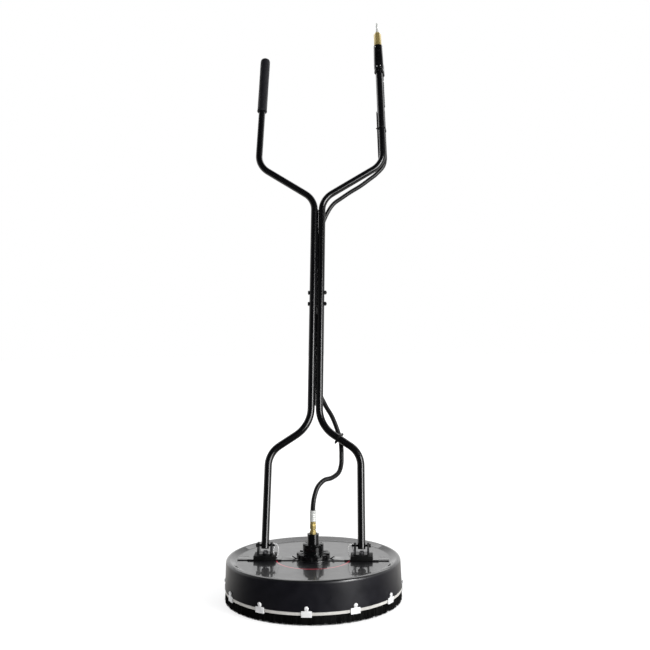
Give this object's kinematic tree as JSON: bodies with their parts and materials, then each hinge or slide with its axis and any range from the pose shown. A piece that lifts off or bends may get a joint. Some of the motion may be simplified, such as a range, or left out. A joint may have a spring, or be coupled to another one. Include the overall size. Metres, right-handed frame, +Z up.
{
  "type": "surface cleaner",
  "caption": "Round pressure-washer surface cleaner: drum deck with brush skirt, spray rotor inside, and a tilting two-tube handle with hose and trigger valve.",
  "frame": {"origin": "on the floor, under the middle of the whole machine's box", "axes": "+Z up, +X to the machine's right seen from its front, -Y to its front; the handle leans back to +Y"},
  "size_m": [0.4676, 0.789, 1.6525],
  "materials": {
    "deck_paint": "gloss black paint",
    "tube_paint": "gloss black paint",
    "black_casting": "black anodised, polished",
    "black_steel": "blackened steel",
    "plain_steel": "plain steel",
    "bright_steel": "bright zinc",
    "brass": "machined brass",
    "black_rubber": "matte rubber",
    "hose_rubber": "smooth hose cover",
    "grip_plastic": "matte dark grey",
    "bristles": "nylon bristle"
  },
  "bodies": {
    "deck": {"deck_shell": "deck_paint", "skirt_channel": "bright_steel", "skirt_bristles": "bristles", "skirt_clip_01": "bright_steel", "skirt_clip_02": "bright_steel", "skirt_clip_03": "bright_steel", "skirt_clip_04": "bright_steel", "skirt_clip_05": "bright_steel", "skirt_clip_06": "bright_steel", "skirt_clip_07": "bright_steel", "skirt_clip_08": "bright_steel", "skirt_clip_09": "bright_steel", "skirt_clip_10": "bright_steel", "skirt_clip_11": "bright_steel", "skirt_clip_12": "bright_steel", "mounting_frame": "tube_paint", "isolator_left": "black_rubber", "isolator_right": "black_rubber", "clevis_left": "tube_paint", "clevis_right": "tube_paint", "pivot_pin_left": "black_steel", "pivot_pin_right": "black_steel", "swivel_housing": "black_casting", "swivel_cap": "black_casting", "upper_bearing": "plain_steel", "lower_bearing": "plain_steel", "shaft_seal": "black_rubber", "inlet_nipple": "brass", "hose_nut": "brass", "hose_ferrule": "bright_steel", "swivel_bolt_1": "black_steel", "swivel_bolt_2": "black_steel", "swivel_bolt_3": "black_steel", "swivel_bolt_4": "black_steel", "bracket_bolt_1": "plain_steel", "bracket_bolt_2": "plain_steel", "bracket_bolt_3": "plain_steel", "bracket_bolt_4": "plain_steel", "hose_lower": "hose_rubber"},
    "rotor": {"rotor_shaft": "plain_steel", "rotor_hub": "plain_steel", "spray_arm_a": "plain_steel", "spray_arm_b": "plain_steel", "nozzle_a": "brass", "nozzle_b": "brass"},
    "handle": {"lower_left_tube": "tube_paint", "lower_right_tube": "tube_paint", "upper_left_tube": "tube_paint", "upper_right_tube": "tube_paint", "splice_bolt_lower": "plain_steel", "splice_bolt_upper": "plain_steel", "left_grip": "grip_plastic", "valve_housing": "black_casting", "inlet_adapter": "brass", "quick_plug": "plain_steel", "hose_fitting_top": "plain_steel", "hose_upper": "hose_rubber", "trigger_pin": "plain_steel"},
    "trigger": {"trigger_lever": "grip_plastic"},
    "stem": {"valve_stem": "plain_steel"}
  },
  "joints": [
    {"name": "rotor_spin", "type": "hinge", "parent": "deck", "child": "rotor", "pos_m": [0, -0.16072, 0.05], "axis": [0, 0, 1], "continuous": true},
    {"name": "handle_tilt", "type": "hinge", "parent": "deck", "child": "handle", "pos_m": [0, -0.16072, 0.1344], "axis": [-1, 0, 0], "range_deg": [-20, 30], "deforming": ["hose_lower"]},
    {"name": "trigger_squeeze", "type": "hinge", "parent": "handle", "child": "trigger", "pos_m": [0.18126, 0.36377, 1.51404], "axis": [-0.9995, -0.0107, -0.0294], "range_deg": [0, 6], "stiffness_Nm_per_rad": 2, "springref_deg": -5.73},
    {"name": "valve_stem_push", "type": "slide", "parent": "handle", "child": "stem", "axis": [0, -0.9397, 0.342], "range_m": [0, 0.0022]}
  ],
  "couplings": [
    {"joint": "valve_stem_push", "follows": "trigger_squeeze", "m_per_rad": 0.02}
  ]
}
